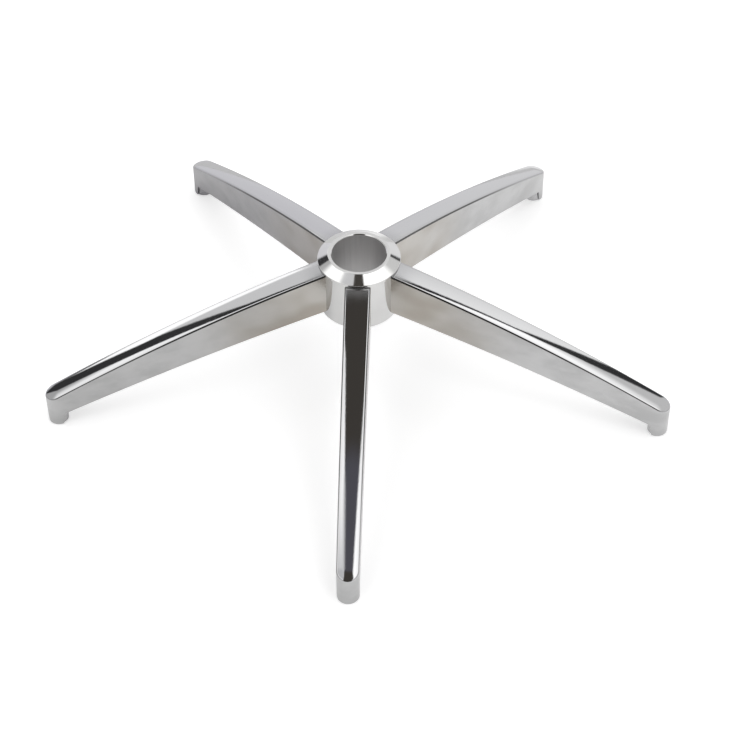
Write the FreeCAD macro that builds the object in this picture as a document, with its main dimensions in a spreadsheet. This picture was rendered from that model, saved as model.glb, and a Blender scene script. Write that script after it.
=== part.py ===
import FreeCAD, Part
import os

import Sketcher

# Five star base of an office chair, welded from steel and chrome plated.
# The pieces are drawn with heights taken from the floor and with a leg along +X. Each finished
# piece is then turned to its place and set down by the height of the hub's mouth, so that the
# origin is the middle of that mouth, with +Z up and leg_1 along -Y.

LEG_COUNT = 5
FIRST_LEG_ANGLE = -90.0

# Shares of a leg's length at which its crest is drawn; the last one is past the nose
SECTION_SHARES = (0.0, 0.35, 0.7, 1.02)

# Driving sizes, in millimetres and degrees
SIZES = {
    "base_radius": 300.0,
    "mouth_height": 130.5,
    # Hub, turned in one piece with its collar
    "hub_height": 60.5,
    "hub_diameter": 73.6,
    "collar_diameter": 76.4,
    "collar_bevel_drop": 5.7,
    "collar_lip": 2.2,
    "rim_width": 2.8,
    "bore_diameter": 50.0,
    "bore_taper": 1.4333,
    "bore_lead": 0.8,
    "hub_foot_chamfer": 0.8,
    # Legs, pressed from sheet as channels that are open underneath
    "sheet_thickness": 1.4,
    "leg_root_width": 23.5,
    "leg_tip_width": 20.0,
    "crest_root_height": 123.0,
    "crest_tip_height": 31.7,
    "crest_bow": 6.5,
    "crest_crown": 0.95,
    "edge_radius": 2.0,
    "hem_root_height": 78.7,
    "hem_tip_height": 12.4,
    "hem_bow": 3.4,
    "skirt_reach": 3.5,
    "skirt_clearance": 0.4,
    # Caster sockets, tubes welded into the noses of the legs
    "socket_length": 28.0,
    "socket_bore": 11.2,
    "socket_lead": 0.6,
    "socket_clearance": 0.1,
    # How far blanks and cutting tools stand past the finished piece
    "overrun": 4.0,
}

# Radii, heights and stations that follow from the driving sizes
DERIVED = {
    "hub_radius": "hub_diameter / 2",
    "hub_foot_height": "mouth_height - hub_height",
    "hub_foot_radius": "hub_radius - hub_foot_chamfer",
    "hub_chamfer_height": "hub_foot_height + hub_foot_chamfer",
    "collar_radius": "collar_diameter / 2",
    "collar_bevel_height": "mouth_height - collar_bevel_drop",
    "collar_lip_height": "collar_bevel_height - collar_lip",
    "bore_radius": "bore_diameter / 2",
    "bore_lead_radius": "bore_radius + bore_lead",
    "bore_lead_height": "mouth_height - bore_lead",
    "bore_foot_radius": "bore_radius - hub_height * tan(bore_taper)",
    "rim_radius": "bore_lead_radius + rim_width",
    "leg_tip_radius": "leg_tip_width / 2",
    "stem_radius": "base_radius - leg_tip_radius",
    "root_station": "sqrt(hub_radius ^ 2 - (leg_root_width / 2) ^ 2) - overrun",
    "leg_run": "base_radius - root_station",
    "outer_root_side": "leg_root_width / 2",
    "outer_nose_radius": "leg_tip_radius",
    "outer_edge": "edge_radius",
    "inner_root_side": "outer_root_side - sheet_thickness",
    "inner_nose_radius": "leg_tip_radius - sheet_thickness",
    "inner_edge": "max(edge_radius - sheet_thickness; sheet_thickness / 4)",
    "trim_start": "root_station - overrun",
    "trim_side": "leg_root_width / 2 + overrun",
    "hem_run": "stem_radius - skirt_reach - trim_start",
    "hem_end": "stem_radius - skirt_reach",
    "hem_fall": "hem_root_height - hem_tip_height",
    "hem_radius": "(hem_run ^ 2 + hem_fall ^ 2) / (8 * hem_bow) + hem_bow / 2",
    "hem_cut_width": "2 * trim_side",
    "trim_height": "mouth_height + overrun",
    "socket_radius": "leg_tip_radius - sheet_thickness - socket_clearance",
    "socket_bore_radius": "socket_bore / 2",
    "socket_lead_radius": "socket_bore_radius + socket_lead",
}

doc = FreeCAD.newDocument("FiveStarBase")
sheet = doc.addObject("Spreadsheet::Sheet", "Sizes")
next_row = 1


def add_size(alias, content):
    """Put one named size, or one formula over named sizes, into the sheet."""
    global next_row
    sheet.set(f"A{next_row}", alias)
    sheet.set(f"B{next_row}", content)
    sheet.setAlias(f"B{next_row}", alias)
    next_row += 1


def fill_sheet():
    """Write the driving sizes, what follows from them, and the sizes of each section of the crest."""
    for alias, value in SIZES.items():
        add_size(alias, str(value))
    for alias, formula in DERIVED.items():
        add_size(alias, "=" + formula)
    for number, share in enumerate(SECTION_SHARES):
        side = f"(outer_root_side + (leg_tip_radius - outer_root_side) * {share})"
        fall = f"(crest_tip_height - crest_root_height) * {share}"
        bow = f"4 * crest_bow * {share} * (1 - {share})"
        add_size(f"station_{number}_place", f"=root_station + leg_run * {share}")
        add_size(f"outer_{number}_crest", f"=crest_root_height + {fall} + {bow}")
        add_size(f"outer_{number}_crown", f"=({side} ^ 2 + crest_crown ^ 2) / (2 * crest_crown)")
        add_size(f"inner_{number}_crest", f"=outer_{number}_crest - sheet_thickness")
        add_size(f"inner_{number}_crown", f"=outer_{number}_crown - sheet_thickness")
        for skin in ("outer", "inner"):
            crown = f"{skin}_{number}_crown"
            add_size(
                f"{skin}_{number}_shoulder",
                f"={skin}_{number}_crest - {crown} + sqrt({crown} ^ 2 - trim_side ^ 2)")
    doc.recompute()


def size(alias):
    """Present value of a coordinate: a named size, one with a minus sign, or nothing for zero."""
    if not alias:
        return 0.0
    if alias.startswith("-"):
        return -float(getattr(sheet, alias[1:]))
    return float(getattr(sheet, alias))


def bind(target, path, expression):
    """Tie a property of an object to the sheet."""
    target.setExpression(path, expression)


def hold(sketch, kind, first, second, alias):
    """Distance of a sketch that follows a named size."""
    order = (*second, *first) if alias.startswith("-") else (*first, *second)
    name = alias.lstrip("-")
    index = sketch.addConstraint(Sketcher.Constraint(kind, *order, size(name)))
    bind(sketch, f"Constraints[{index}]", f"Sizes.{name}")


def place_point(sketch, edge, end, point):
    """Fix one end of an edge at named coordinates from the sketch's own origin."""
    origin = (-1, 1)
    for alias, kind, axis in ((point[0], "DistanceX", -2), (point[1], "DistanceY", -1)):
        if alias:
            hold(sketch, kind, origin, (edge, end), alias)
        else:
            sketch.addConstraint(Sketcher.Constraint("PointOnObject", edge, end, axis))


def vector(point):
    """Sketch point from named coordinates."""
    return FreeCAD.Vector(size(point[0]), size(point[1]), 0)


def draw_outline(sketch, points, arc_after=None, arc_radius=None):
    """Closed outline through named points, with one arc that turns left if it is asked for."""
    edges = []
    for number, point in enumerate(points):
        start = vector(point)
        end = vector(points[(number + 1) % len(points)])
        if number == arc_after:
            chord = end - start
            half = chord.Length / 2
            depth = max(size(arc_radius) ** 2 - half ** 2, 0.0) ** 0.5
            inward = FreeCAD.Vector(-chord.y, chord.x, 0).normalize()
            centre = start + chord * 0.5 + inward * depth
            circle = Part.Circle(centre, FreeCAD.Vector(0, 0, 1), size(arc_radius))
            geometry = Part.ArcOfCircle(circle, circle.parameter(start), circle.parameter(end))
        else:
            geometry = Part.LineSegment(start, end)
        edges.append(sketch.addGeometry(geometry, False))
    for number, edge in enumerate(edges):
        following = edges[(number + 1) % len(edges)]
        sketch.addConstraint(Sketcher.Constraint("Coincident", edge, 2, following, 1))
        place_point(sketch, edge, 1, points[number])
    return edges


def hold_radius(sketch, arc, alias):
    """Radius of an arc that follows a named size."""
    index = sketch.addConstraint(Sketcher.Constraint("Radius", arc, size(alias)))
    bind(sketch, f"Constraints[{index}]", f"Sizes.{alias}")


def turned_body(label, points):
    """Body turned about its own Z axis from an outline of radii and heights."""
    body = doc.addObject("PartDesign::Body", label)
    body.Label = label
    plane = next(p for p in body.Origin.OriginFeatures if p.Role == "XZ_Plane")
    sketch = body.newObject("Sketcher::SketchObject", f"{label}_outline")
    sketch.AttachmentSupport = [(plane, "")]
    sketch.MapMode = "FlatFace"
    draw_outline(sketch, points)
    turn = body.newObject("PartDesign::Revolution", f"{label}_turn")
    turn.Profile = sketch
    turn.ReferenceAxis = (sketch, ["V_Axis"])
    turn.Angle = 360.0
    body.Tip = turn
    return body


def set_down(piece, angle, radius=None):
    """Turn a piece about the hub's axis and lower it to its place under the hub's mouth."""
    piece.Placement = FreeCAD.Placement(FreeCAD.Vector(), FreeCAD.Rotation(FreeCAD.Vector(0, 0, 1), angle))
    if radius:
        bind(piece, "Placement.Base.x", f"Sizes.{radius} * cos({angle})")
        bind(piece, "Placement.Base.y", f"Sizes.{radius} * sin({angle})")
    bind(piece, "Placement.Base.z", "-Sizes.mouth_height")


def make_hub():
    """Hub with its collar: a tapered bore for the gas lift, a flat rim, a bevel and a lip."""
    outline = [
        ("bore_foot_radius", "hub_foot_height"),
        ("hub_foot_radius", "hub_foot_height"),
        ("hub_radius", "hub_chamfer_height"),
        ("hub_radius", "collar_lip_height"),
        ("collar_radius", "collar_lip_height"),
        ("collar_radius", "collar_bevel_height"),
        ("rim_radius", "mouth_height"),
        ("bore_lead_radius", "mouth_height"),
        ("bore_radius", "bore_lead_height"),
    ]
    hub = turned_body("hub", outline)
    set_down(hub, 0.0)
    return hub


def crest_section(skin, number):
    """Section under the crowned crest of a leg, wider than the leg itself."""
    sketch = doc.addObject("Sketcher::SketchObject", f"{skin}_section_{number}")
    sketch.Placement = FreeCAD.Placement(
        FreeCAD.Vector(), FreeCAD.Rotation(FreeCAD.Vector(1, 1, 1), 120.0))
    bind(sketch, "Placement.Base.x", f"Sizes.station_{number}_place")
    foot = "skirt_clearance" if skin == "outer" else ""
    shoulder = f"{skin}_{number}_shoulder"
    crown = f"{skin}_{number}_crown"
    outline = [
        ("-trim_side", foot),
        ("trim_side", foot),
        ("trim_side", shoulder),
        ("-trim_side", shoulder),
    ]
    edges = draw_outline(sketch, outline, arc_after=2, arc_radius=crown)
    hold_radius(sketch, edges[2], crown)
    return sketch


def leg_form(skin):
    """Solid form of a leg: its tapered plan with a half-round nose, under the crest and with eased edges."""
    plan = doc.addObject("Sketcher::SketchObject", f"{skin}_plan")
    outline = [
        ("root_station", f"-{skin}_root_side"),
        ("stem_radius", f"-{skin}_nose_radius"),
        ("stem_radius", f"{skin}_nose_radius"),
        ("root_station", f"{skin}_root_side"),
    ]
    edges = draw_outline(plan, outline, arc_after=1, arc_radius=f"{skin}_nose_radius")
    hold(plan, "DistanceX", (-1, 1), (edges[1], 3), "stem_radius")
    prism = doc.addObject("Part::Extrusion", f"{skin}_prism")
    prism.Base = plan
    prism.DirMode = "Normal"
    prism.Solid = True
    bind(prism, "LengthFwd", "Sizes.trim_height")
    loft = doc.addObject("Part::Loft", f"{skin}_loft")
    loft.Sections = [crest_section(skin, number) for number in range(len(SECTION_SHARES))]
    loft.Solid = True
    loft.Ruled = False
    form = doc.addObject("Part::Common", f"{skin}_form")
    form.Base = prism
    form.Tool = loft
    doc.recompute()
    eased = doc.addObject("Part::Fillet", f"{skin}_eased")
    eased.Base = form
    radius = size(f"{skin}_edge")
    eased.Edges = [(number, radius, radius) for number in crest_edges(form.Shape)]
    return eased


def crest_edges(shape):
    """Numbers of the edges along the sides and the nose of a leg's crest."""
    return [
        number for number, edge in enumerate(shape.Edges, start=1)
        if edge.BoundBox.ZMin > size("hem_tip_height") and edge.BoundBox.XLength > size("sheet_thickness")]


def hem_cutter():
    """Space under the bowed hem of a leg's walls, up to the skirt round the socket."""
    side = doc.addObject("Sketcher::SketchObject", "hem_side")
    side.Placement = FreeCAD.Placement(
        FreeCAD.Vector(), FreeCAD.Rotation(FreeCAD.Vector(1, 0, 0), 90.0))
    outline = [
        ("trim_start", ""),
        ("hem_end", ""),
        ("hem_end", "hem_tip_height"),
        ("trim_start", "hem_root_height"),
    ]
    edges = draw_outline(side, outline, arc_after=2, arc_radius="hem_radius")
    hold_radius(side, edges[2], "hem_radius")
    cutter = doc.addObject("Part::Extrusion", "hem_cutter")
    cutter.Base = side
    cutter.DirMode = "Normal"
    cutter.Solid = True
    cutter.Symmetric = True
    bind(cutter, "LengthFwd", "Sizes.hem_cut_width")
    return cutter


def cut(name, base, tool):
    """One solid less another."""
    piece = doc.addObject("Part::Cut", name)
    piece.Base = base
    piece.Tool = tool
    return piece


def make_legs(angles):
    """Five pressed legs, each an open channel with its root coped to the hub's round body."""
    channel = cut("leg_channel", leg_form("outer"), leg_form("inner"))
    hemmed = cut("leg_hemmed", channel, hem_cutter())
    hub_round = doc.addObject("Part::Cylinder", "hub_round")
    bind(hub_round, "Radius", "Sizes.hub_radius")
    bind(hub_round, "Height", "Sizes.trim_height")
    legs = []
    for number, angle in enumerate(angles, start=1):
        leg = cut(f"leg_{number}", hemmed, hub_round)
        set_down(leg, angle)
        legs.append(leg)
    return legs


def make_sockets(angles):
    """Caster sockets: tubes with a lead at the mouth, one in the nose of each leg."""
    outline = [
        ("socket_lead_radius", ""),
        ("socket_radius", ""),
        ("socket_radius", "socket_length"),
        ("socket_bore_radius", "socket_length"),
        ("socket_bore_radius", "socket_lead"),
    ]
    sockets = []
    for number, angle in enumerate(angles, start=1):
        socket = turned_body(f"caster_socket_{number}", outline)
        set_down(socket, angle, "stem_radius")
        sockets.append(socket)
    return sockets


def check(pieces):
    """Stop if any object failed or any piece is not one sound solid."""
    for thing in doc.Objects:
        if "Invalid" in thing.State or "Error" in thing.State:
            raise RuntimeError(f"{thing.Name} failed: {thing.State}")
    for piece in pieces:
        if piece.Shape.isNull() or not piece.Shape.isValid() or len(piece.Shape.Solids) != 1:
            raise RuntimeError(f"{piece.Label} is not one sound solid")


def main():
    fill_sheet()
    angles = [FIRST_LEG_ANGLE + 360.0 / LEG_COUNT * number for number in range(LEG_COUNT)]
    pieces = [make_hub(), *make_legs(angles), *make_sockets(angles)]
    doc.recompute()
    check(pieces)
    os.makedirs("parts", exist_ok=True)
    for piece in pieces:
        piece.Shape.exportStep(f"parts/{piece.Label}.step")
        print(piece.Label, round(piece.Shape.Volume, 1), piece.Shape.BoundBox)


main()
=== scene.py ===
import math

import bpy
import numpy as np
from mathutils import Matrix, Vector


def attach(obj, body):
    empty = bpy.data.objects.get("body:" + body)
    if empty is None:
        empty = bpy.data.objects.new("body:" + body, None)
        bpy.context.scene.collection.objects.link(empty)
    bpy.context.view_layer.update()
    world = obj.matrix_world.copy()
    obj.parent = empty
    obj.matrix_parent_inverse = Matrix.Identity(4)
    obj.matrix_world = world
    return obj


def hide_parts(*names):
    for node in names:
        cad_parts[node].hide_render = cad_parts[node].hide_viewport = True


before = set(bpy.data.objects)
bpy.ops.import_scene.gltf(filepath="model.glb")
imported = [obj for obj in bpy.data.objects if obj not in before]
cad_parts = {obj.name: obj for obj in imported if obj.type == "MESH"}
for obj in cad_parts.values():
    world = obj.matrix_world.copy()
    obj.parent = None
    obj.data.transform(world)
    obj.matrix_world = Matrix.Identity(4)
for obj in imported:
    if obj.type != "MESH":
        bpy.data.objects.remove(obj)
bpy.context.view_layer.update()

MM = 0.001

# Sizes of the part, in millimetres, with heights taken from the plane of the socket ends
LEG_COUNT = 5
FIRST_LEG_ANGLE = -90.0
BASE_RADIUS = 300.0
MOUTH_HEIGHT = 130.5
HUB_HEIGHT = 60.5
HUB_RADIUS = 36.8
HUB_FOOT_CHAMFER = 0.8
COLLAR_RADIUS = 38.2
COLLAR_BEVEL_DROP = 5.7
COLLAR_LIP = 2.2
RIM_WIDTH = 2.8
BORE_RADIUS = 25.0
BORE_LEAD = 0.8
BORE_TAPER = math.radians(1.4333)
SHEET_THICKNESS = 1.4
LEG_ROOT_HALF_WIDTH = 11.75
LEG_TIP_HALF_WIDTH = 10.0
CREST_ROOT = 123.0
CREST_TIP = 31.7
CREST_BOW = 6.5
CREST_CROWN = 0.95
EDGE_RADIUS = 2.0
HEM_ROOT = 78.7
HEM_TIP = 12.4
HEM_BOW = 3.4
SKIRT_REACH = 3.5
SKIRT_CLEARANCE = 0.4
SOCKET_RADIUS = 8.5
SOCKET_BORE_RADIUS = 5.6
SOCKET_LENGTH = 28.0
SOCKET_LEAD = 0.6
OVERRUN = 4.0
LEG_ANGLES = [FIRST_LEG_ANGLE + 360.0 / LEG_COUNT * number for number in range(LEG_COUNT)]
STEM_RADIUS = BASE_RADIUS - LEG_TIP_HALF_WIDTH
ROOT_STATION = math.sqrt(HUB_RADIUS ** 2 - LEG_ROOT_HALF_WIDTH ** 2) - OVERRUN
HEM_START = ROOT_STATION - OVERRUN
HEM_END = STEM_RADIUS - SKIRT_REACH
LEG_NARROWING = (LEG_ROOT_HALF_WIDTH - LEG_TIP_HALF_WIDTH) / (STEM_RADIUS - ROOT_STATION)

# Softening that the tools leave and the solids leave out, in millimetres
SKIRT_CORNER = 1.6
CUT_EDGE_DEPTH = 0.3
NOSE_FALL_START = 289.0
NOSE_FALL_BEND = 0.011
BORE_ROUNDING = 0.3
HUB_FOOT_ROUNDING = 0.25
HUB_CHAMFER_ROUNDING = 0.4
LIP_CORNER_ROUNDING = 0.25
LIP_ROUNDING = 0.4
BEVEL_FOOT_ROUNDING = 0.7
BEVEL_TOP_ROUNDING = 0.8
SOCKET_LEAD_ROUNDING = 0.2
SOCKET_FOOT_ROUNDING = 0.5
SOCKET_TOP_ROUNDING = 0.4

# How the meshes are divided
ROUNDING_STEPS = 6
HUB_SEGMENTS = 256
SOCKET_SEGMENTS = 96
LEG_STRIPS = 110
SKIRT_CORNER_STRIPS = 25
SKIRT_CORNER_REACH = 1.2
NOSE_STRIPS = 49
WALL_ROWS = 10
CREST_ROWS = 16
EDGE_ROWS = 20
CUT_EDGE_ROWS = 5
COPE_PASSES = 3

# Bite of a leg's root into the hub, least rise that a slope is taken over, and distance that welds points
ROOT_BITE = 0.15
LEAST_RISE = 1e-4
WELD_DISTANCE = 1e-4

# Colours of the finishes; a pair runs from the darker to the lighter clouds
PLATE_CLEAR = (0.555, 0.555, 0.56)
PLATE_CLOUDY = ((0.41, 0.41, 0.41), (0.50, 0.50, 0.50))
# Painted shade along the rims of a leg's top
PLATE_RIM_SHADE = (0.2, 0.2, 0.2)
# Painted shade on a leg's top near the hub
PLATE_ROOT_SHADE = (0.3, 0.3, 0.31)
# Painted warm reflection and shade of the hub on a leg's walls
PLATE_WARM_REFLECTION = (0.50, 0.475, 0.435)
PLATE_STAIN = (0.30, 0.265, 0.22)
# Painted dark line of shade along a leg's bend
PLATE_BEND_SHADE = (0.05, 0.048, 0.046)
INSIDE_PLATE = ((0.22, 0.22, 0.225), (0.42, 0.42, 0.42))
HUB_PLATE = ((0.62, 0.618, 0.61), (0.70, 0.698, 0.69))
BORE_METAL = ((0.49, 0.483, 0.48), (0.63, 0.622, 0.62))
SOCKET_METAL = ((0.44, 0.44, 0.445), (0.57, 0.57, 0.57))
FLOOR_PAPER = (0.86, 0.86, 0.86)

# Where the leg's finish and its painted shade change: facing from wall to top, share of the half width, and
# metres along the leg
WALL_FACING = (0.05, 0.3)
BEND_FACING = (0.06, 0.2)
TOP_FACING = (0.7, 0.9)
# Band of painted shade along the rims of the top
RIM_SHADE_BAND = (0.62, 0.95)
# Reach of the rougher haze on the top near the hub, which also carries painted shade there
ROOT_HAZE_AND_SHADE_END = (0.036, 0.060)
# Reach of the painted warm reflection and shade on the walls near the hub
WARM_REFLECTION_END = (0.05, 0.18)
STAIN_END = (0.08, 0.15)
# Reach of the painted dark line of shade along the bend, fading towards the tip
BEND_SHADE_END = (0.15, 0.27)

# How much of the noise shows as clouds and as stains
CLOUD_RANGE = (0.3, 0.7)
STAIN_RANGE = (0.34, 0.84)

# Hem as the stains follow it: its fall along the leg, where that starts, and the band above it, in metres
HEM_FALL = 0.22
HEM_FALL_START = 0.0288
HEM_STAIN_BAND = (0.004, 0.026)

# Sockets of a Mix node that carry colours
MIX_FIRST = 6
MIX_SECOND = 7
MIX_RESULT = 2

# Light of the studio and glow of the floor, where 1 is white
CEILING_LIGHT = (0.074, 0.067, 0.060)
CEILING_FRONT_LIGHT = (0.120, 0.118, 0.140)
GAP_LIGHT = (0.050, 0.050, 0.052)
BACK_WALL_LIGHT = (0.96, 0.96, 0.965)
BACK_GLOW_LIGHT = (1.34, 1.34, 1.34)
LOW_WALL_LEFT_LIGHT = (0.895, 0.89, 0.93)
LOW_WALL_RIGHT_LIGHT = (0.99, 0.99, 1.005)
LOW_CARD_LIGHT = (1.80, 1.80, 1.80)
LEFT_FILL_LIGHT = (0.60, 0.60, 0.60)
RIGHT_FILL_LIGHT = (0.84, 0.84, 0.84)
LEFT_BOX_LIGHT = (1.58, 1.58, 1.58)
LEFT_BOX_FRONT_LIGHT = (0.80, 0.80, 0.82)
RIGHT_BOX_LIGHT = (1.80, 1.80, 1.80)
FLOOR_GLOW_SEEN = (0.45, 0.45, 0.45)
FLOOR_GLOW_LEFT = (0.27, 0.27, 0.27)
FLOOR_GLOW_BACK_LEFT = (0.02, 0.015, 0.03)
FLOOR_GLOW_RIGHT = (0.46, 0.46, 0.465)
FLOOR_GLOW_FAR = (0.03, 0.03, 0.03)
WHITE = (1.0, 1.0, 1.0)
BLACK = (0.0, 0.0, 0.0)

# Reach of the floor and edges of its glow, in metres
FLOOR_REACH = 6.0
GLOW_SIDE_EDGE = (-0.25, 0.25)
GLOW_BACK_EDGE = (-0.06, 0.04)
GLOW_LEFT_EDGE = (-0.1, 0.1)
GLOW_FAR_EDGE = (0.5, 1.0)

# Directions of the studio, in degrees of turn and of rise or, overhead, in ways per unit of height
LEAST_HEIGHT = 0.05
SLOT_FRONT = -0.15
CAMERA_SIDE_EDGE = (22.0, 30.0)
WALL_TOP_EDGE = (0.363, 0.403)
WALL_TOP_SPREAD = 0.36
WALL_TOP_TILT = 0.07
WALL_LEFT_EDGE = (-37.2, -35.6)
WALL_LEFT_LEAN = 0.2
WALL_RIGHT_EDGE = (30.8, 32.0)
WALL_RIGHT_LEAN = 0.27
WALL_GLOW_EDGE = (12.0, 43.0)
LOW_WALL_TURN = (-62.0, 62.0, 4.0)
LOW_WALL_RISE = (-20.0, 20.0, 2.0)
LOW_WALL_SIDES = (-20.0, 20.0)
LOW_CARD_TURN = (-44.5, -27.0, 1.0)
LOW_CARD_RISE = (23.0, 33.0, 1.5)
LEFT_SLOT_PLACE = -0.195
LEFT_SLOT_LEAN = -0.3
LEFT_SLOT_SOFT = 0.025
LEFT_SLOT_FRONT_SOFT = 0.045
LEFT_SLOT_FRONT = (-0.18, 0.0, 0.03)
RIGHT_SLOT_PLACE = 0.18
RIGHT_SLOT_LEAN = 0.4
RIGHT_SLOT_SOFT = 0.03
LEFT_GAP_EDGE = (-57.0, -55.0)
LEFT_GAP_HIGH = 42.0
LEFT_GAP_HIGH_LEAN = 0.25
RIGHT_GAP_EDGE = (47.2, 48.6)
RIGHT_GAP_HIGH = 47.0
RIGHT_GAP_HIGH_LEAN = 0.6
RIGHT_GAP_LOW = 39.0
RIGHT_GAP_LOW_LEAN = 0.25
FILL_RISE = (-20.0, 50.0, 6.0)
LEFT_BOX_EDGE = (35.5, 44.5)
RIGHT_BOX_EDGE = (39.5, 51.5)
LEFT_BOX_FRONT_RISE = (60.0, 65.0)
LEFT_BOX_FRONT_EDGE = (-0.2, 0.0)
CEILING_FRONT = (-0.2, 0.04, 0.03)
GAP_TOP_EDGE = (0.32, 0.46)

# Camera as fitted, with lengths in millimetres and the focal length in pixels of the photograph
CAMERA_DISTANCE = 1898.7
CAMERA_ELEVATION = math.radians(45.404)
CAMERA_SWING = math.radians(2.578)
CAMERA_ROLL = math.radians(-0.623)
AIM_SIDEWAYS = 4.379
AIM_HEIGHT = -15.74
FOCAL_PIXELS = 1985.7
PHOTO_PIXELS = 730.0
SENSOR_WIDTH = 36.0


# Meshes

def mesh_object(name, points, normals, faces, slots, angle=0.0, radius=0.0):
    """Object from points in millimetres, with the surface's own normals, put in its place under the mouth.

    The points before that are kept as the attribute "drawn_at", in metres, for the finishes.
    """
    turn = math.radians(angle)
    c, s = math.cos(turn), math.sin(turn)
    rotation = np.array([[c, -s, 0.0], [s, c, 0.0], [0.0, 0.0, 1.0]])
    spot = np.array([radius * c, radius * s, -MOUTH_HEIGHT])
    mesh = bpy.data.meshes.new(name)
    mesh.from_pydata(((points @ rotation.T + spot) * MM).tolist(), [], faces)
    mesh.polygons.foreach_set("use_smooth", [True] * len(mesh.polygons))
    mesh.polygons.foreach_set("material_index", slots)
    drawn = mesh.attributes.new("drawn_at", "FLOAT_VECTOR", "POINT")
    drawn.data.foreach_set("vector", (points * MM).ravel())
    mesh.update()
    mesh.normals_split_custom_set_from_vertices((normals @ rotation.T).tolist())
    piece = bpy.data.objects.new(name, mesh)
    bpy.context.scene.collection.objects.link(piece)
    return piece


def rounded_outline(corners):
    """Closed outline of radii and heights with each corner rounded, and the outward normal at every point.

    A corner is (radius, height, rounding). The outline runs with the metal on its left.
    """
    count = len(corners)
    outline = []
    normals = []
    for number in range(count):
        here = np.array(corners[number][:2])
        to_last = np.array(corners[number - 1][:2]) - here
        to_next = np.array(corners[(number + 1) % count][:2]) - here
        to_last /= np.linalg.norm(to_last)
        to_next /= np.linalg.norm(to_next)
        rounding = corners[number][2]
        opening = math.acos(np.clip(to_last @ to_next, -1.0, 1.0))
        reach = rounding / math.tan(opening / 2)
        first_normal = np.array([-to_last[1], to_last[0]])
        last_normal = np.array([to_next[1], -to_next[0]])
        turn = first_normal[0] * last_normal[1] - first_normal[1] * last_normal[0]
        sign = 1.0 if turn > 0 else -1.0
        centre = here + to_last * reach - first_normal * rounding * sign
        sweep = math.acos(np.clip(first_normal @ last_normal, -1.0, 1.0))
        for step in range(ROUNDING_STEPS + 1):
            angle = sign * sweep * step / ROUNDING_STEPS
            c, s = math.cos(angle), math.sin(angle)
            normal = np.array([[c, -s], [s, c]]) @ first_normal
            outline.append(centre + normal * rounding * sign)
            normals.append(normal)
    return np.array(outline), np.array(normals)


def turned_piece(name, corners, segments, angle=0.0, radius=0.0, bore_reach=0.0):
    """Ring turned about its own axis from a closed outline of rounded corners.

    Faces nearer to the axis than bore_reach have the second material.
    """
    outline, outline_normals = rounded_outline(corners)
    rows = len(outline)
    turns = np.linspace(0.0, 2 * math.pi, segments, endpoint=False)
    ray = np.stack([np.cos(turns), np.sin(turns)], axis=1)
    points = np.zeros((segments, rows, 3))
    normals = np.zeros((segments, rows, 3))
    points[:, :, :2] = ray[:, None, :] * outline[None, :, 0, None]
    points[:, :, 2] = outline[None, :, 1]
    normals[:, :, :2] = ray[:, None, :] * outline_normals[None, :, 0, None]
    normals[:, :, 2] = outline_normals[None, :, 1]
    faces = []
    slots = []
    for turn in range(segments):
        after = (turn + 1) % segments
        for row in range(rows):
            below = (row + 1) % rows
            faces.append((turn * rows + row, after * rows + row, after * rows + below, turn * rows + below))
            slots.append(1 if max(outline[row][0], outline[below][0]) < bore_reach else 0)
    return mesh_object(name, points.reshape(-1, 3), normals.reshape(-1, 3), faces, slots, angle, radius)


def stand_for(piece, node):
    """Let a piece take the place of a node of the frame."""
    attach(piece, "root")
    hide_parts(node)


# Leg

def share_along(station):
    """Share of the way from the leg's root to the end of its nose."""
    return (station - ROOT_STATION) / (BASE_RADIUS - ROOT_STATION)


def half_width(station):
    """Half the leg's width, which narrows as far as the socket's axis."""
    run = np.clip(station, ROOT_STATION, STEM_RADIUS) - ROOT_STATION
    return LEG_ROOT_HALF_WIDTH - LEG_NARROWING * run


def nose_fall(station):
    """How far the crest falls off softly at the nose."""
    return NOSE_FALL_BEND / 2 * max(station - NOSE_FALL_START, 0.0) ** 2


def crest_height(station):
    """Height of the crest on the leg's spine."""
    share = share_along(station)
    rise = CREST_ROOT + (CREST_TIP - CREST_ROOT) * share + 4 * CREST_BOW * share * (1 - share)
    return rise - nose_fall(station)


def crest_slope(station):
    """Slope of the crest along the leg's spine."""
    run = BASE_RADIUS - ROOT_STATION
    slope = (CREST_TIP - CREST_ROOT + 4 * CREST_BOW * (1 - 2 * share_along(station))) / run
    return slope - NOSE_FALL_BEND * max(station - NOSE_FALL_START, 0.0)


def hem_height(station):
    """Height of the bowed hem."""
    share = np.clip((station - HEM_START) / (HEM_END - HEM_START), 0.0, 1.0)
    return HEM_TIP + (HEM_ROOT - HEM_TIP) * (1 - share) + 4 * HEM_BOW * share * (1 - share)


def crown_radius(station):
    """Radius of the crest's crown across the leg."""
    side = LEG_ROOT_HALF_WIDTH + (LEG_TIP_HALF_WIDTH - LEG_ROOT_HALF_WIDTH) * share_along(station)
    return (side ** 2 + CREST_CROWN ** 2) / (2 * CREST_CROWN)


def lower_edge(station):
    """Height of the wall's lower edge: the hem, then the skirt round the socket."""
    low = hem_height(station)
    turn = np.clip((station - HEM_END + SKIRT_CORNER) / (2 * SKIRT_CORNER), 0.0, 1.0)
    return low + (SKIRT_CLEARANCE - low) * (0.5 - 0.5 * math.cos(math.pi * turn))


def crest_at(x, y):
    """Height and slopes of the crowned crest over a point of the plan."""
    radius = crown_radius(x)
    fall = math.sqrt(radius ** 2 - y ** 2)
    return crest_height(x) - radius + fall, np.array([crest_slope(x), -y / fall])


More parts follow.
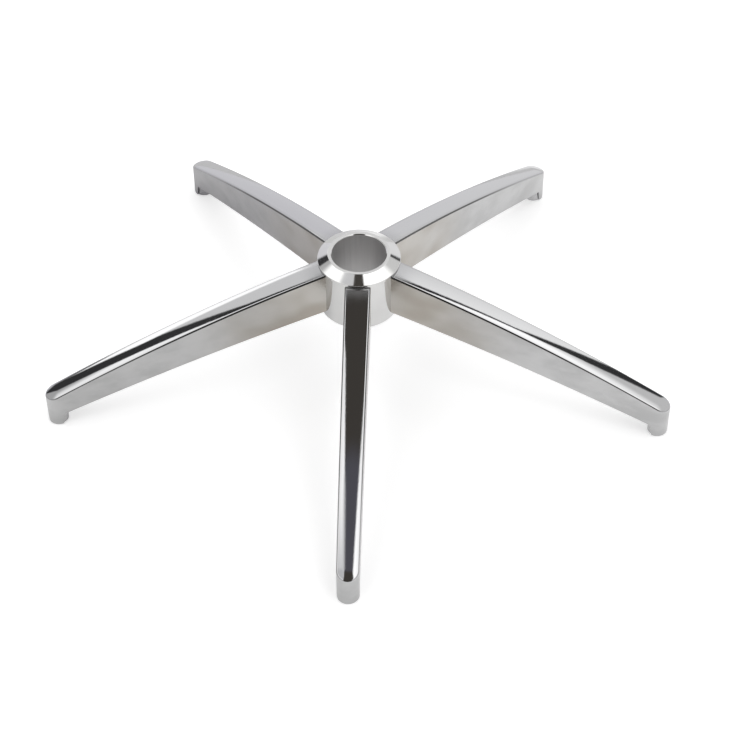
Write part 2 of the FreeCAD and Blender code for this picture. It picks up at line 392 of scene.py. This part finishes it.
def skin_point(spot, outward, depth):
    """Point and normal of the outer skin over a point of the plan, so deep inside the wall."""
    height, slopes = crest_at(*spot)
    within = EDGE_RADIUS - depth
    edge_spot = spot - outward * max(within, 0.0)
    edge_height, edge_slopes = crest_at(*edge_spot)
    lean = math.atan(-edge_slopes @ outward)
    if within > EDGE_RADIUS * math.sin(lean):
        rise = math.sqrt(max(EDGE_RADIUS ** 2 - within ** 2, 0.0))
        height = edge_height - EDGE_RADIUS / math.cos(lean) + rise
        along = np.array([-outward[1], outward[0]])
        slopes = along * (edge_slopes @ along) - outward * within / max(rise, LEAST_RISE)
    normal = np.array([-slopes[0], -slopes[1], 1.0])
    return np.array([*spot, height]), normal / np.linalg.norm(normal)


def offsets_across(reach):
    """Distances from the spine to the wall, closer together on the eased edge."""
    flat = np.linspace(0.0, reach - EDGE_RADIUS, CREST_ROWS, endpoint=False)
    eased = reach - EDGE_RADIUS * (1 - np.sin(np.linspace(0.0, math.pi / 2, EDGE_ROWS)))
    return np.concatenate([flat, eased])


def side_strip(share, side):
    """Points and normals across one side of a leg's top, coped to the hub at the root."""
    outward = np.array([0.0, side])
    strip = []
    for number in range(CREST_ROWS + EDGE_ROWS):
        offset = LEG_ROOT_HALF_WIDTH
        for _ in range(COPE_PASSES):
            root = math.sqrt(HUB_RADIUS ** 2 - offset ** 2) - ROOT_BITE
            station = root + (STEM_RADIUS - root) * share
            wide = half_width(station)
            offset = offsets_across(wide)[number]
        strip.append(skin_point(np.array([station, side * offset]), outward, wide - offset))
    return strip


def nose_strip(outward):
    """Points and normals across the nose, from the socket's axis to the wall."""
    centre = np.array([STEM_RADIUS, 0.0])
    reach = LEG_TIP_HALF_WIDTH
    offsets = offsets_across(reach)
    return [skin_point(centre + outward * offset, outward, reach - offset) for offset in offsets]


def with_wall(strip, outward):
    """Strip of the outer skin, continued down the wall to just above its lower edge."""
    points = [point for point, _ in strip]
    normals = [normal for _, normal in strip]
    wall_normal = np.array([*outward, 0.0])
    normals[-1] = wall_normal
    x, y, top = points[-1]
    low = lower_edge(min(x, STEM_RADIUS)) + CUT_EDGE_DEPTH
    for row in range(1, WALL_ROWS + 1):
        points.append(np.array([x, y, top + (low - top) * row / WALL_ROWS]))
        normals.append(wall_normal)
    return points, normals


def leg_skin():
    """Outer skin of a leg along +X: strips along one side, round the nose and back along the other side."""
    around = np.linspace(-SKIRT_CORNER_REACH, SKIRT_CORNER_REACH, SKIRT_CORNER_STRIPS)
    corner_shares = (HEM_END + around * SKIRT_CORNER - HUB_RADIUS) / (STEM_RADIUS - HUB_RADIUS)
    even_shares = np.linspace(0.0, 1.0, LEG_STRIPS)
    shares = np.unique(np.concatenate([even_shares, corner_shares[corner_shares < 1.0]]))
    left, right = np.array([0.0, 1.0]), np.array([0.0, -1.0])
    strips = [with_wall(side_strip(share, 1.0), left) for share in shares]
    for angle in np.linspace(math.pi / 2, -math.pi / 2, NOSE_STRIPS)[1:-1]:
        outward = np.array([math.cos(angle), math.sin(angle)])
        strips.append(with_wall(nose_strip(outward), outward))
    strips += [with_wall(side_strip(share, -1.0), right) for share in shares[::-1]]
    return np.array([points for points, _ in strips]), np.array([normals for _, normals in strips])


def welded(points, normals, faces, slots):
    """The same mesh with points that coincide made one, and faces that vanish by that left out."""
    keys = np.round(points / WELD_DISTANCE).astype(np.int64)
    _, first, place = np.unique(keys, axis=0, return_index=True, return_inverse=True)
    place = place.ravel()
    kept_faces = []
    kept_slots = []
    for face, slot in zip(faces, slots):
        corners = list(dict.fromkeys(int(place[corner]) for corner in face))
        if len(corners) > 2:
            kept_faces.append(corners)
            kept_slots.append(slot)
    return points[first], normals[first], kept_faces, kept_slots


def leg_pressing():
    """Points, normals, faces and slots of a pressed leg along +X: outer skin, inner skin a sheet's thickness
    below it, dressed lower edge and closed root.
    """
    outer, outer_normals = leg_skin()
    inner = outer - outer_normals * SHEET_THICKNESS
    middle = (outer[:, -1] + inner[:, -1]) / 2
    across = (outer[:, -1] - inner[:, -1]) / 2
    down = np.array([0.0, 0.0, -1.0])
    edge = []
    edge_normals = []
    for turn in np.linspace(0.0, math.pi, CUT_EDGE_ROWS + 2)[1:-1]:
        c, s = math.cos(turn), math.sin(turn)
        lean = math.copysign(math.sqrt(abs(c)), c)
        edge.append(middle + across * lean + down * CUT_EDGE_DEPTH * math.sqrt(s))
        edge_normals.append(outer_normals[:, -1] * c + down * s)
    edge = np.stack(edge, axis=1)
    edge_normals = np.stack(edge_normals, axis=1)
    grid = np.concatenate([outer, edge, inner[:, ::-1]], axis=1)
    normals = np.concatenate([outer_normals, edge_normals, -outer_normals[:, ::-1]], axis=1)
    columns, rows = grid.shape[:2]
    first_inner_row = outer.shape[1] + CUT_EDGE_ROWS
    faces = []
    slots = []
    for column in range(columns - 1):
        for row in range(rows - 1):
            first = column * rows + row
            after = first + rows
            faces.append((first, after, after + 1, first + 1))
            slots.append(1 if row >= first_inner_row else 0)
    last_column = (columns - 1) * rows
    for row in range(rows // 2):
        opposite = rows - 1 - row
        root = (row, row + 1, opposite - 1, opposite)
        faces.append(root)
        faces.append(tuple(last_column + corner for corner in root[::-1]))
        slots += [1, 1]
    return welded(grid.reshape(-1, 3), normals.reshape(-1, 3), faces, slots)


def make_legs(plate, inside):
    """Five legs of one pressing, bright outside and dull inside the channel."""
    points, normals, faces, slots = leg_pressing()
    for number, angle in enumerate(LEG_ANGLES, start=1):
        leg = mesh_object(f"leg_pressing_{number}", points, normals, faces, slots, angle)
        leg.data.materials.append(plate)
        leg.data.materials.append(inside)
        stand_for(leg, f"leg_{number}")


# Hub and sockets

def make_hub(plate, bore):
    """Turned hub with its bevelled collar; the bore has the greyer finish."""
    foot = MOUTH_HEIGHT - HUB_HEIGHT
    bore_foot = BORE_RADIUS - HUB_HEIGHT * math.tan(BORE_TAPER)
    bevel_foot = MOUTH_HEIGHT - COLLAR_BEVEL_DROP
    lip_foot = bevel_foot - COLLAR_LIP
    corners = [
        (bore_foot, foot, BORE_ROUNDING),
        (HUB_RADIUS - HUB_FOOT_CHAMFER, foot, HUB_FOOT_ROUNDING),
        (HUB_RADIUS, foot + HUB_FOOT_CHAMFER, HUB_CHAMFER_ROUNDING),
        (HUB_RADIUS, lip_foot, LIP_CORNER_ROUNDING),
        (COLLAR_RADIUS, lip_foot, LIP_ROUNDING),
        (COLLAR_RADIUS, bevel_foot, BEVEL_FOOT_ROUNDING),
        (BORE_RADIUS + BORE_LEAD + RIM_WIDTH, MOUTH_HEIGHT, BEVEL_TOP_ROUNDING),
        (BORE_RADIUS + BORE_LEAD, MOUTH_HEIGHT, BORE_ROUNDING),
        (BORE_RADIUS, MOUTH_HEIGHT - BORE_LEAD, BORE_ROUNDING),
    ]
    hub = turned_piece("hub_turning", corners, HUB_SEGMENTS, bore_reach=BORE_RADIUS + BORE_LEAD / 2)
    hub.data.materials.append(plate)
    hub.data.materials.append(bore)
    stand_for(hub, "hub")


def make_sockets(finish):
    """Caster sockets cut from tube, with a lead at the mouth."""
    corners = [
        (SOCKET_BORE_RADIUS + SOCKET_LEAD, 0.0, SOCKET_LEAD_ROUNDING),
        (SOCKET_RADIUS, 0.0, SOCKET_FOOT_ROUNDING),
        (SOCKET_RADIUS, SOCKET_LENGTH, SOCKET_TOP_ROUNDING),
        (SOCKET_BORE_RADIUS, SOCKET_LENGTH, SOCKET_TOP_ROUNDING),
        (SOCKET_BORE_RADIUS, SOCKET_LEAD, SOCKET_LEAD_ROUNDING),
    ]
    for number, angle in enumerate(LEG_ANGLES, start=1):
        socket = turned_piece(f"socket_tube_{number}", corners, SOCKET_SEGMENTS, angle, STEM_RADIUS)
        socket.data.materials.append(finish)
        stand_for(socket, f"caster_socket_{number}")


# Materials

class Wire:
    """A socket of a node tree that takes part in Python sums."""

    def __init__(self, tree, socket):
        self.tree = tree
        self.socket = socket

    def node(self, kind, settings=None, inputs=None, output=0):
        return add_node(self.tree, kind, settings, inputs, output)

    def math(self, operation, *values):
        return self.node("ShaderNodeMath", {"operation": operation}, dict(enumerate(values)))

    def at_least(self, limit):
        return self.math("MAXIMUM", self, limit)

    def __add__(self, other):
        return self.math("ADD", self, other)

    __radd__ = __add__

    def __sub__(self, other):
        return self.math("SUBTRACT", self, other)

    def __rsub__(self, other):
        return self.math("SUBTRACT", other, self)

    def __mul__(self, other):
        return self.math("MULTIPLY", self, other)

    __rmul__ = __mul__

    def __truediv__(self, other):
        return self.math("DIVIDE", self, other)

    def __rtruediv__(self, other):
        return self.math("DIVIDE", other, self)

    def __abs__(self):
        return self.math("ABSOLUTE", self)


def add_node(tree, kind, settings=None, inputs=None, output=0):
    """Add a node: its settings first, then the values or links of its sockets."""
    node = tree.nodes.new(kind)
    for name, value in (settings or {}).items():
        setattr(node, name, value)
    for name, value in (inputs or {}).items():
        if isinstance(value, Wire):
            tree.links.new(value.socket, node.inputs[name])
        else:
            node.inputs[name].default_value = value
    return Wire(tree, node.outputs[output]) if len(node.outputs) else node


def split(vector):
    """The three parts of a vector."""
    parts = vector.node("ShaderNodeSeparateXYZ", None, {0: vector})
    return [Wire(vector.tree, socket) for socket in parts.socket.node.outputs]


def smooth_step(value, low, high):
    """0 below low, 1 above high, eased between; an edge is a pair of low and high."""
    return value.node(
        "ShaderNodeMapRange", {"interpolation_type": "SMOOTHSTEP"},
        {"Value": value, "From Min": low, "From Max": high, "To Min": 0.0, "To Max": 1.0})


def span(value, low, high, soft):
    """1 between low and high, with ends as soft as this to either side."""
    return smooth_step(value, low - soft, low + soft) * (1 - smooth_step(value, high - soft, high + soft))


def opaque(colour):
    """A linked colour as it is, or red, green and blue with full cover."""
    return colour if isinstance(colour, Wire) else (*colour, 1.0)


def blend_colours(factor, first, second):
    """Colour mixed from first to second."""
    return factor.node(
        "ShaderNodeMix", {"data_type": "RGBA", "clamp_factor": True},
        {"Factor": factor, MIX_FIRST: opaque(first), MIX_SECOND: opaque(second)}, MIX_RESULT)


def empty_material(name):
    """A material of this name and its empty node tree."""
    material = bpy.data.materials.new(name)
    material.use_nodes = True
    tree = material.node_tree
    tree.nodes.clear()
    return material, tree


def finish_material(tree, inputs):
    """Principled surface with these sockets."""
    shader = add_node(tree, "ShaderNodeBsdfPrincipled", None, inputs)
    add_node(tree, "ShaderNodeOutputMaterial", None, {"Surface": shader})


def drawn_at(tree):
    """Where a point lies on its piece as drawn, in metres: along a leg or over a turning, across, and up."""
    return add_node(tree, "ShaderNodeAttribute", {"attribute_name": "drawn_at"}, None, "Vector")


def grain(place, stretch, detail, roughness, seed):
    """Noise between 0 and 1 with its own scale along each direction, per metre."""
    scaled = place.node(
        "ShaderNodeMapping", None,
        {"Vector": place, "Scale": stretch, "Location": (seed, 1.7 * seed, 0.6 * seed)})
    return place.node(
        "ShaderNodeTexNoise", None,
        {"Vector": scaled, "Scale": 1.0, "Detail": detail, "Roughness": roughness})


def facing_up(tree):
    """How far the surface faces up: 1 on a level top, 0 on an upright wall."""
    normal = add_node(tree, "ShaderNodeNewGeometry", None, None, "Normal")
    return split(normal)[2]


def bump(height, strength, distance):
    """Small relief from a value."""
    return height.node(
        "ShaderNodeBump", None, {"Strength": strength, "Distance": distance, "Height": height})


def leg_chrome():
    """Bright plate over a pressing: clear on the top, hazy at the root with painted shade there, cloudy on
    the walls with a painted warm reflection and shade near the hub and brown stains towards the hub and the
    hem, painted shade along the rim of the top and a painted dark line of shade along the bend.
    """
    material, tree = empty_material("leg_chrome_plate")
    place = drawn_at(tree)
    along, across, up = split(place)
    spot = add_node(tree, "ShaderNodeTexCoord", None, None, "Object")
    level = facing_up(tree)
    side = (LEG_ROOT_HALF_WIDTH + LEG_NARROWING * ROOT_STATION) * MM - LEG_NARROWING * along
    above_hem = up - HEM_ROOT * MM + HEM_FALL * (along - HEM_FALL_START)
    clouds = grain(spot, stretch=(26.0, 26.0, 50.0), detail=4.0, roughness=0.55, seed=3.1)
    blotches = grain(spot, stretch=(30.0, 30.0, 38.0), detail=0.5, roughness=0.5, seed=7.94)
    polish_lines = grain(place, stretch=(30.0, 900.0, 900.0), detail=2.0, roughness=0.5, seed=8.3)
    wall = 1 - smooth_step(abs(level), *WALL_FACING)
    # Painted shade along both rims of the top
    painted_rim_shade = (1 - wall) * smooth_step(abs(across) / side, *RIM_SHADE_BAND)
    # Rougher haze on the top near the hub; its grey colour there is painted shade
    root_haze_and_shade = (1 - wall) * (1 - smooth_step(along, *ROOT_HAZE_AND_SHADE_END))
    # Painted warm reflection and shade of the hub on the walls near it
    painted_warm_reflection = wall * (1 - smooth_step(along, *WARM_REFLECTION_END))
    near_hem = 1 - smooth_step(above_hem, *HEM_STAIN_BAND)
    stained = smooth_step(blotches + 0.10 * near_hem, *STAIN_RANGE)
    stain = wall * (1 - smooth_step(along, *STAIN_END)) * stained
    # Painted dark line of shade along the bend, fading towards the tip
    bend = smooth_step(level, *BEND_FACING) * (1 - smooth_step(level, *TOP_FACING))
    painted_bend_shade = bend * (1 - 0.85 * smooth_step(along, *BEND_SHADE_END))
    cloudy = blend_colours(smooth_step(clouds, *CLOUD_RANGE), *PLATE_CLOUDY)
    colour = blend_colours(wall, PLATE_CLEAR, cloudy)
    # The rim, root, warm and bend layers are painted shade and reflection; the stain layer is brown stains
    layers = [
        (0.22 * painted_rim_shade, PLATE_RIM_SHADE),
        (0.35 * root_haze_and_shade, PLATE_ROOT_SHADE),
        (0.7 * painted_warm_reflection, PLATE_WARM_REFLECTION),
        (0.62 * stain, PLATE_STAIN),
        (0.85 * painted_bend_shade, PLATE_BEND_SHADE),
    ]
    for cover, tint in layers:
        colour = blend_colours(cover, colour, tint)
    finish_material(tree, {
        "Base Color": colour, "Metallic": 1.0,
        "Roughness": 0.04 + wall * (0.10 + 0.12 * clouds) + 0.16 * root_haze_and_shade + 0.02 * polish_lines,
        "Normal": bump(polish_lines, 0.03, 0.0002)})
    return material


def leg_inside():
    """Thin dull plate inside the channel."""
    material, tree = empty_material("leg_inside_plate")
    clouds = grain(drawn_at(tree), stretch=(60.0, 60.0, 60.0), detail=5.0, roughness=0.6, seed=1.3)
    finish_material(tree, {
        "Base Color": blend_colours(clouds, *INSIDE_PLATE), "Metallic": 1.0,
        "Roughness": 0.32 + 0.2 * clouds,
        "Normal": bump(clouds, 0.15, 0.0005)})
    return material


def hub_chrome():
    """Bright plate over a turning, with the faint rings of the tool under it."""
    material, tree = empty_material("hub_chrome_plate")
    place = drawn_at(tree)
    rings = grain(place, stretch=(12.0, 12.0, 1600.0), detail=2.0, roughness=0.5, seed=2.2)
    clouds = grain(place, stretch=(45.0, 45.0, 45.0), detail=3.0, roughness=0.5, seed=6.4)
    finish_material(tree, {
        "Base Color": blend_colours(clouds, *HUB_PLATE), "Metallic": 1.0,
        "Roughness": 0.05 + 0.03 * rings + 0.03 * clouds,
        "Normal": bump(rings, 0.03, 0.0001)})
    return material


def bore_steel():
    """Bore, bored and broached, thinly plated and grey."""
    material, tree = empty_material("bore_turned_steel")
    place = drawn_at(tree)
    streaks = grain(place, stretch=(420.0, 420.0, 9.0), detail=3.0, roughness=0.6, seed=4.4)
    rings = grain(place, stretch=(20.0, 20.0, 1400.0), detail=2.0, roughness=0.5, seed=7.7)
    finish_material(tree, {
        "Base Color": blend_colours(streaks, *BORE_METAL), "Metallic": 1.0,
        "Roughness": 0.52 + 0.12 * streaks,
        "Normal": bump(rings + streaks, 0.06, 0.0002)})
    return material


def socket_steel():
    """Cut tube, thinly plated and satin."""
    material, tree = empty_material("socket_satin_steel")
    place = drawn_at(tree)
    rings = grain(place, stretch=(40.0, 40.0, 1500.0), detail=3.0, roughness=0.6, seed=9.1)
    stains = grain(place, stretch=(130.0, 130.0, 130.0), detail=3.0, roughness=0.5, seed=0.7)
    finish_material(tree, {
        "Base Color": blend_colours(stains, *SOCKET_METAL), "Metallic": 1.0,
        "Roughness": 0.2 + 0.15 * stains,
        "Normal": bump(rings, 0.08, 0.0002)})
    return material


# Studio

def floor_paper():
    """Pale paper that glows a little to the eye and, by its place, in the metal."""
    material, tree = empty_material("floor_paper")
    seen = add_node(tree, "ShaderNodeLightPath", None, None, "Is Camera Ray")
    mirrored = add_node(tree, "ShaderNodeLightPath", None, None, "Is Glossy Ray")
    place = add_node(tree, "ShaderNodeTexCoord", None, None, "Object")
    sideways, backward, _ = split(place)
    away = add_node(tree, "ShaderNodeVectorMath", {"operation": "LENGTH"}, {0: place}, "Value")
    back_left = smooth_step(backward, *GLOW_BACK_EDGE) * (1 - smooth_step(sideways, *GLOW_LEFT_EDGE))
    mirrored_glow = blend_colours(smooth_step(sideways, *GLOW_SIDE_EDGE), FLOOR_GLOW_LEFT, FLOOR_GLOW_RIGHT)
    mirrored_glow = blend_colours(back_left, mirrored_glow, FLOOR_GLOW_BACK_LEFT)
    mirrored_glow = blend_colours(smooth_step(away, *GLOW_FAR_EDGE), mirrored_glow, FLOOR_GLOW_FAR)
    seen_glow = blend_colours(seen, BLACK, FLOOR_GLOW_SEEN)
    finish_material(tree, {
        "Base Color": opaque(FLOOR_PAPER), "Roughness": 0.9, "Specular IOR Level": 0.0,
        "Emission Color": blend_colours(mirrored, seen_glow, mirrored_glow), "Emission Strength": 1.0})
    return material


def make_floor():
    """Pale floor on the plane of the socket ends."""
    signs = [(-1, -1), (1, -1), (1, 1), (-1, 1)]
    corners = [(x * FLOOR_REACH, y * FLOOR_REACH, -MOUTH_HEIGHT * MM) for x, y in signs]
    mesh = bpy.data.meshes.new("studio_floor")
    mesh.from_pydata(corners, [], [(0, 1, 2, 3)])
    mesh.materials.append(floor_paper())
    floor = bpy.data.objects.new("studio_floor", mesh)
    bpy.context.scene.collection.objects.link(floor)


def studio_light(tree):
    """Light from each direction: a back wall, dark gaps beside it, fills at the sides, two boxes overhead,
    a dark ceiling between them and a dark camera side.

    Turn goes from the back to the right and rise from the horizon. Overhead, sideways and forward are ways
    on a level plane per unit of height.
    """
    x, y, z = split(add_node(tree, "ShaderNodeTexCoord", None, None, "Generated"))
    turn = x.math("ARCTAN2", x, y) * math.degrees(1.0)
    rise = z.math("ARCSINE", z) * math.degrees(1.0)
    height = z.at_least(LEAST_HEIGHT)
    sideways = x / height
    forward = y / height
    slot_forward = forward.at_least(SLOT_FRONT)
    off_camera = smooth_step(180.0 - abs(turn), *CAMERA_SIDE_EDGE)

    wall_top = forward - WALL_TOP_SPREAD * abs(sideways) - WALL_TOP_TILT * sideways
    wall_left = smooth_step(turn + WALL_LEFT_LEAN * rise, *WALL_LEFT_EDGE)
    wall_right = 1 - smooth_step(turn - WALL_RIGHT_LEAN * rise, *WALL_RIGHT_EDGE)
    wall = smooth_step(wall_top, *WALL_TOP_EDGE) * wall_left * wall_right
    low_wall = span(turn, *LOW_WALL_TURN) * span(rise, *LOW_WALL_RISE)
    low_card = span(turn, *LOW_CARD_TURN) * span(rise, *LOW_CARD_RISE)

    left_slot = sideways - LEFT_SLOT_PLACE - LEFT_SLOT_LEAN * slot_forward
    left_soft = LEFT_SLOT_SOFT + LEFT_SLOT_FRONT_SOFT * span(forward, *LEFT_SLOT_FRONT)
    over_left = (1 - smooth_step(left_slot / left_soft, -1.0, 1.0)) * off_camera
    left_gap = turn - LEFT_GAP_HIGH_LEAN * (rise - LEFT_GAP_HIGH).at_least(0.0)
    left_side = (1 - smooth_step(left_gap, *LEFT_GAP_EDGE)) * over_left
    left_front = smooth_step(rise, *LEFT_BOX_FRONT_RISE) * (1 - smooth_step(forward, *LEFT_BOX_FRONT_EDGE))

    right_slot = sideways - RIGHT_SLOT_PLACE - RIGHT_SLOT_LEAN * slot_forward
    over_right = smooth_step(right_slot, -RIGHT_SLOT_SOFT, RIGHT_SLOT_SOFT) * off_camera
    high_lean = RIGHT_GAP_HIGH_LEAN * (rise - RIGHT_GAP_HIGH).at_least(0.0)
    low_lean = RIGHT_GAP_LOW_LEAN * (RIGHT_GAP_LOW - rise).at_least(0.0)
    right_side = smooth_step(turn + high_lean + low_lean, *RIGHT_GAP_EDGE) * over_right

    cards = [
        (span(forward, *CEILING_FRONT), CEILING_FRONT_LIGHT),
        (smooth_step(forward, *GAP_TOP_EDGE), GAP_LIGHT),
        (left_side * span(rise, *FILL_RISE), LEFT_FILL_LIGHT),
        (right_side * span(rise, *FILL_RISE), RIGHT_FILL_LIGHT),
        (left_side * smooth_step(rise, *LEFT_BOX_EDGE), LEFT_BOX_LIGHT),
        (over_left * left_front, LEFT_BOX_FRONT_LIGHT),
        (right_side * smooth_step(rise, *RIGHT_BOX_EDGE), RIGHT_BOX_LIGHT),
        (wall, BACK_WALL_LIGHT),
        (wall * smooth_step(turn, *WALL_GLOW_EDGE), BACK_GLOW_LIGHT),
        (low_wall, LOW_WALL_LEFT_LIGHT),
        (low_wall * smooth_step(turn, *LOW_WALL_SIDES), LOW_WALL_RIGHT_LIGHT),
        (low_card, LOW_CARD_LIGHT),
    ]
    light = CEILING_LIGHT
    for cover, level in cards:
        light = blend_colours(cover, light, level)
    return light


def make_studio():
    """Studio that the metal and the floor see; the eye sees white instead."""
    world = bpy.data.worlds.new("studio")
    bpy.context.scene.world = world
    world.use_nodes = True
    tree = world.node_tree
    tree.nodes.clear()
    seen = add_node(tree, "ShaderNodeLightPath", None, None, "Is Camera Ray")
    shown = blend_colours(seen, studio_light(tree), WHITE)
    background = add_node(tree, "ShaderNodeBackground", None, {"Color": shown, "Strength": 1.0})
    add_node(tree, "ShaderNodeOutputWorld", None, {"Surface": background})


def make_camera():
    """Camera fitted to the hub, the legs and the tips in the photograph."""
    level = math.cos(CAMERA_ELEVATION)
    c, s = math.cos(CAMERA_SWING), math.sin(CAMERA_SWING)
    spot = CAMERA_DISTANCE * np.array([level * s, -level * c, math.sin(CAMERA_ELEVATION)])
    aim = np.array([AIM_SIDEWAYS * c, AIM_SIDEWAYS * s, AIM_HEIGHT])
    forward = Vector(aim - spot).normalized()
    right = forward.cross(Vector((0, 0, 1))).normalized()
    up = right.cross(forward)
    rolled_right = right * math.cos(CAMERA_ROLL) + up * math.sin(CAMERA_ROLL)
    rolled_up = up * math.cos(CAMERA_ROLL) - right * math.sin(CAMERA_ROLL)
    turn = Matrix((rolled_right, rolled_up, -forward)).transposed().to_4x4()
    lens = bpy.data.cameras.new("photo_view")
    lens.sensor_fit = "HORIZONTAL"
    lens.sensor_width = SENSOR_WIDTH
    lens.lens = SENSOR_WIDTH * FOCAL_PIXELS / PHOTO_PIXELS
    camera = bpy.data.objects.new("photo_view", lens)
    bpy.context.scene.collection.objects.link(camera)
    lowered = Vector(spot) - Vector((0, 0, MOUTH_HEIGHT))
    camera.matrix_world = Matrix.Translation(lowered * MM) @ turn
    bpy.context.scene.camera = camera


bpy.context.scene.view_settings.view_transform = "Standard"
make_hub(hub_chrome(), bore_steel())
make_legs(leg_chrome(), leg_inside())
make_sockets(socket_steel())
make_floor()
make_studio()
make_camera()
